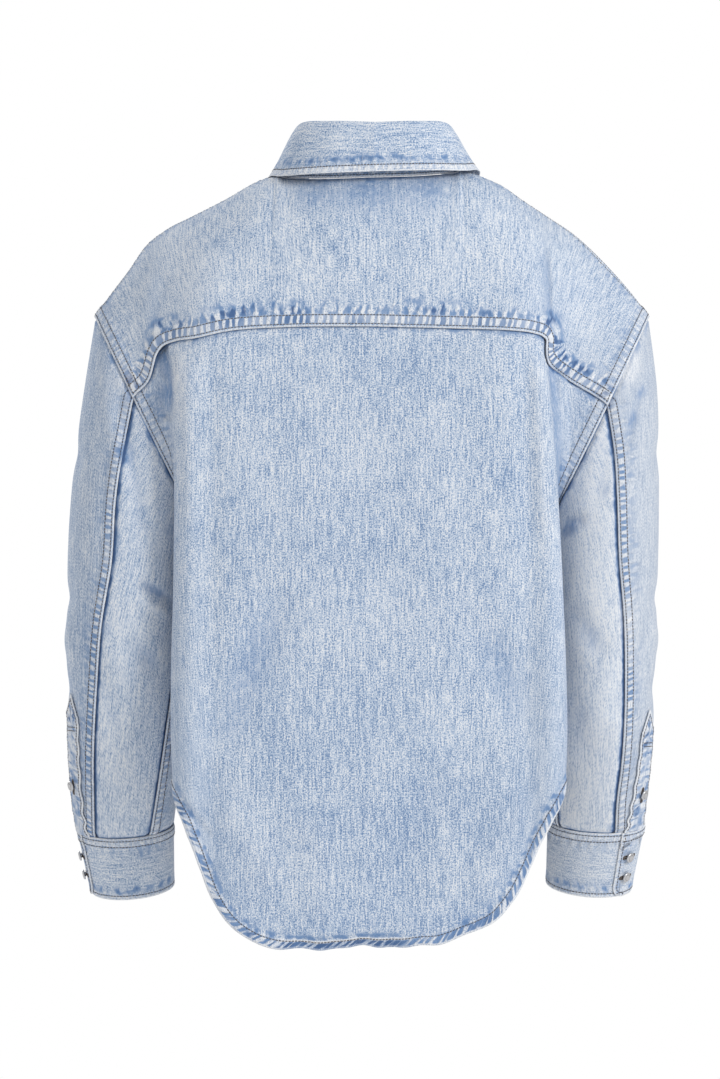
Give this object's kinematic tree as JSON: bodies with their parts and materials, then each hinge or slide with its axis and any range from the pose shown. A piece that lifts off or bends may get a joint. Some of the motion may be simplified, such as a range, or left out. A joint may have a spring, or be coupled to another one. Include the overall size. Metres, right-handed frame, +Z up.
{
  "type": "shirt jacket",
  "caption": "Oversized shirt jacket in washed pale denim, hollow as worn, with a turned-down collar, a deep back yoke, dropped shoulders, a curved hem and buttoned cuffs.",
  "frame": {"origin": "the middle of the neck opening, level with the back neck seam, where the wearer's neck and shoulders hold the garment", "axes": "+Z up, +X to the wearer's left, the front faces -Y"},
  "size_m": [0.5736, 0.2317, 0.7929],
  "materials": {
    "denim": "stone-washed pale blue twill, matt, paler on edges and seam ridges",
    "silver_metal": "silver shank buttons, softly domed and lightly brushed"
  },
  "bodies": {
    "root": {"back_panel": "denim", "back_yoke": "denim", "front_left": "denim", "front_right": "denim", "front_placket": "denim", "collar_stand": "denim", "collar_fall": "denim", "sleeve_outer_left": "denim", "sleeve_outer_right": "denim", "sleeve_under_left": "denim", "sleeve_under_right": "denim", "sleeve_placket_left": "denim", "sleeve_placket_right": "denim", "cuff_left": "denim", "cuff_right": "denim", "stand_button": "silver_metal", "front_button_1": "silver_metal", "front_button_2": "silver_metal", "front_button_3": "silver_metal", "front_button_4": "silver_metal", "front_button_5": "silver_metal", "front_button_6": "silver_metal", "front_button_7": "silver_metal", "cuff_button_left_1": "silver_metal", "cuff_button_left_2": "silver_metal", "cuff_button_right_1": "silver_metal", "cuff_button_right_2": "silver_metal", "placket_button_left": "silver_metal", "placket_button_right": "silver_metal"}
  },
  "joints": []
}
